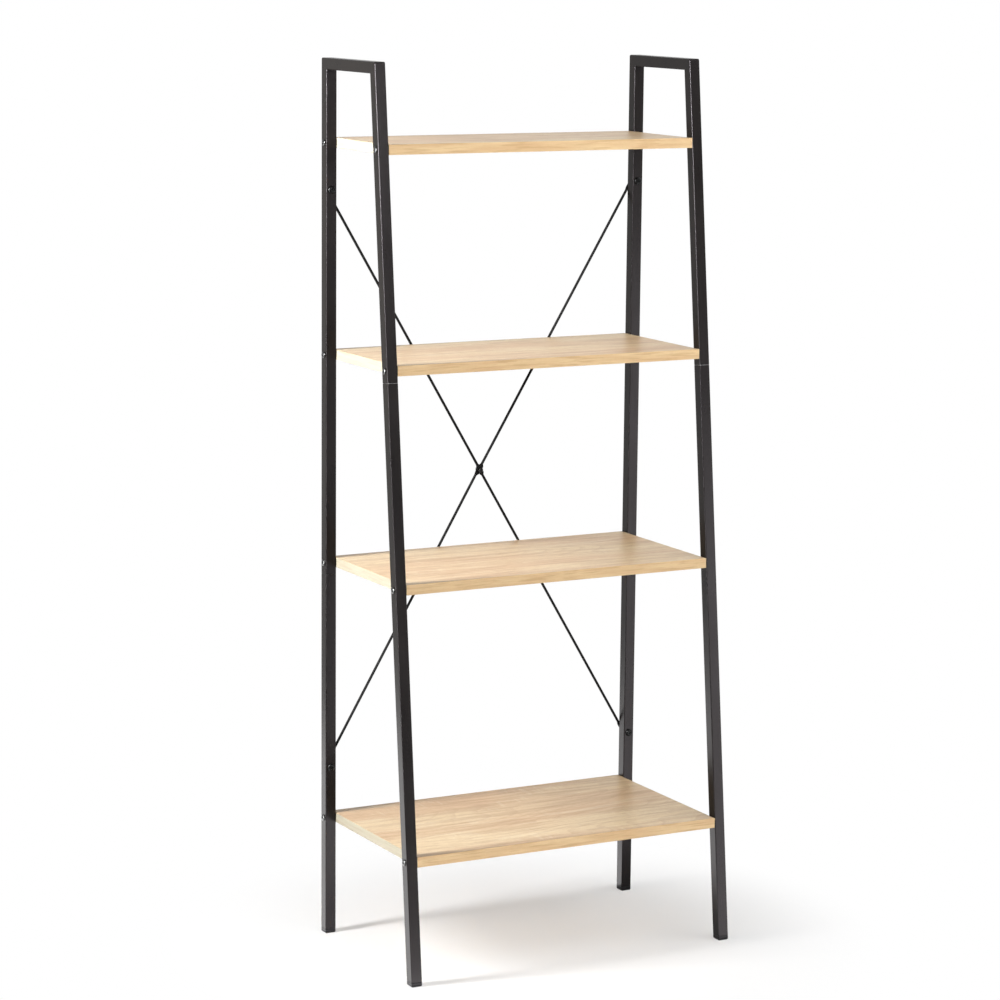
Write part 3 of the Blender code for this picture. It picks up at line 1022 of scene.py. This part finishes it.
def make_floor():
    mesh = bpy.data.meshes.new("floor")
    bm = bmesh.new()
    bmesh.ops.create_grid(bm, x_segments=1, y_segments=1, size=floor_half)
    bm.to_mesh(mesh)
    bm.free()
    floor = bpy.data.objects.new("floor", mesh)
    bpy.context.scene.collection.objects.link(floor)
    material, tree, shader, place = start_material("white_floor", floor_roughness,
                                                   floor_specular)
    shader.inputs["Base Color"].default_value = floor_color
    distance = add(tree, "ShaderNodeVectorMath", {0: place}, operation="LENGTH")
    far = remap(tree, distance.outputs["Value"], glow_start, glow_full, least_glow, 1,
                smooth=True)
    glow = add(tree, "ShaderNodeEmission", {"Color": white, "Strength": 1.0})
    share = arithmetic(tree, "MULTIPLY", far, seen_directly(tree))
    both = add(tree, "ShaderNodeMixShader", {0: share, 1: shader.outputs[0],
                                             2: glow.outputs[0]})
    output = tree.nodes["Material Output"]
    tree.links.new(both.outputs[0], output.inputs["Surface"])
    mesh.materials.append(material)


make_floor()
print("floor", floor_half * 2, "m square")

# %% Surroundings
wall_light_low = 0.05
wall_light_high = 0.06
wall_foot = -0.15
wall_top = 0.9


def make_surroundings():
    world = bpy.data.worlds.new("studio")
    bpy.context.scene.world = world
    world.use_nodes = True
    tree = world.node_tree
    shader = tree.nodes["Background"]
    way = add(tree, "ShaderNodeTexCoord").outputs["Generated"]
    up = add(tree, "ShaderNodeSeparateXYZ", {"Vector": way}).outputs["Z"]
    wall = remap(tree, up, wall_foot, wall_top, wall_light_low, wall_light_high)
    strength = arithmetic(tree, "MAXIMUM", wall, seen_directly(tree))
    tree.links.new(strength, shader.inputs["Strength"])
    shader.inputs["Color"].default_value = white


make_surroundings()
print("world", bpy.context.scene.world.name)

# %% [markdown]
# ## Lamps
# Two upright key lamps stand on the left, one above the other. They brighten the cream
# board ends and draw the legs' short shadows along the boards' edges, and no gloss
# mirrors them. Broad lamps from overhead, the right and the front fill in the rest, and
# one in front fans out less, so that the upper boards' edges get more than the lower.
# Black satin steel shows little but what it mirrors, so the lamps called mirrored are
# seen only in its gloss. Four lie on the floor and stand for its bright places around
# the lower legs. Two to the left light the tubes' corners and the left screws, one low
# on the right lights the right frame, and one high in front has its mirror image in the
# left frame, so it leaves the right one dark.

# %% Kinds of lamp
floor_lamp_height = 0.002


def soft_lamp(name, place, target, wide, high, power, shines=True, mirrors=True,
              fan=math.pi):
    data = bpy.data.lights.new(name, "AREA")
    data.shape = "RECTANGLE"
    data.size = wide
    data.size_y = high
    data.energy = power
    data.spread = fan
    lamp = bpy.data.objects.new(name, data)
    lamp.visible_camera = False
    lamp.visible_diffuse = shines
    lamp.visible_glossy = mirrors
    aim = (Vector(target) - Vector(place)).to_track_quat("-Z", "Y")
    lamp.matrix_world = Matrix.Translation(Vector(place)) @ aim.to_matrix().to_4x4()
    bpy.context.scene.collection.objects.link(lamp)
    return lamp


def gloss_lamp(name, place, target, wide, high, power):
    """A lamp that shows in gloss and lights nothing else."""
    return soft_lamp(name, place, target, wide, high, power, shines=False)


def floor_lamp(name, x, y, wide, high, power):
    """A gloss lamp that lies on the floor and faces up."""
    return gloss_lamp(name, (x, y, floor_lamp_height), (x, y, 1), wide, high, power)


# %% Lamps
narrow_fan = math.radians(70)
lamps = (
    soft_lamp("left_key_high", (-1.35, 0.09, 1.6), (0, 0, 1.2), 0.24, 1.0, 32,
              mirrors=False),
    soft_lamp("left_key_low", (-1.4, 0.09, 1.0), (0, 0, 0.7), 0.24, 1.0, 11,
              mirrors=False),
    soft_lamp("overhead", (0.2, -1.0, 3.4), (0, 0, 0.8), 1.8, 1.8, 15),
    soft_lamp("right_key", (1.6, -1.0, 2.2), (0, 0, 0.9), 1.4, 1.2, 18),
    soft_lamp("front_fill", (-0.5, -3.2, 1.6), (0, 0, 1.0), 1.6, 1.6, 15),
    soft_lamp("front_high", (-0.2, -1.9, 2.0), (0, 0, 1.45), 1.0, 0.6, 1.8,
              fan=narrow_fan),
    soft_lamp("right_fill", (1.2, -2.8, 1.9), (0, 0, 1.0), 1.4, 1.4, 20,
              mirrors=False),
    floor_lamp("mirrored_floor", -0.508, 0.62, 1.275, 1.8, 22),
    floor_lamp("mirrored_corner", 0.2075, 0.6, 0.155, 0.84, 1.6),
    floor_lamp("mirrored_near", 0.1, -0.52, 1.4, 0.65, 15),
    floor_lamp("mirrored_far", 0.85, -1.3, 0.8, 1.2, 16),
    gloss_lamp("mirrored_front", (-1.2, -1.0, 1.6), (0, 0, 1.45), 0.2, 0.5, 170),
    gloss_lamp("mirrored_high", (0.3, -2.0, 1.65), (-0.3, 0, 1.35), 0.3, 0.3, 9),
    gloss_lamp("mirrored_left", (-1.35, -0.45, 0.95), (-0.3, -0.1, 0.9), 0.08, 1.5, 60),
    gloss_lamp("mirrored_right", (1.5, -1.8, 0.45), (0.3, 0, 0.5), 0.8, 0.9, 16),
)
print("lamps", [lamp.name for lamp in lamps])

# %% [markdown]
# ## The end
# The render shows its colours through the Standard view transform. The dressed part
# has to stay inside the CAD model's own box.

# %% The end
bpy.context.scene.view_settings.view_transform = "Standard"
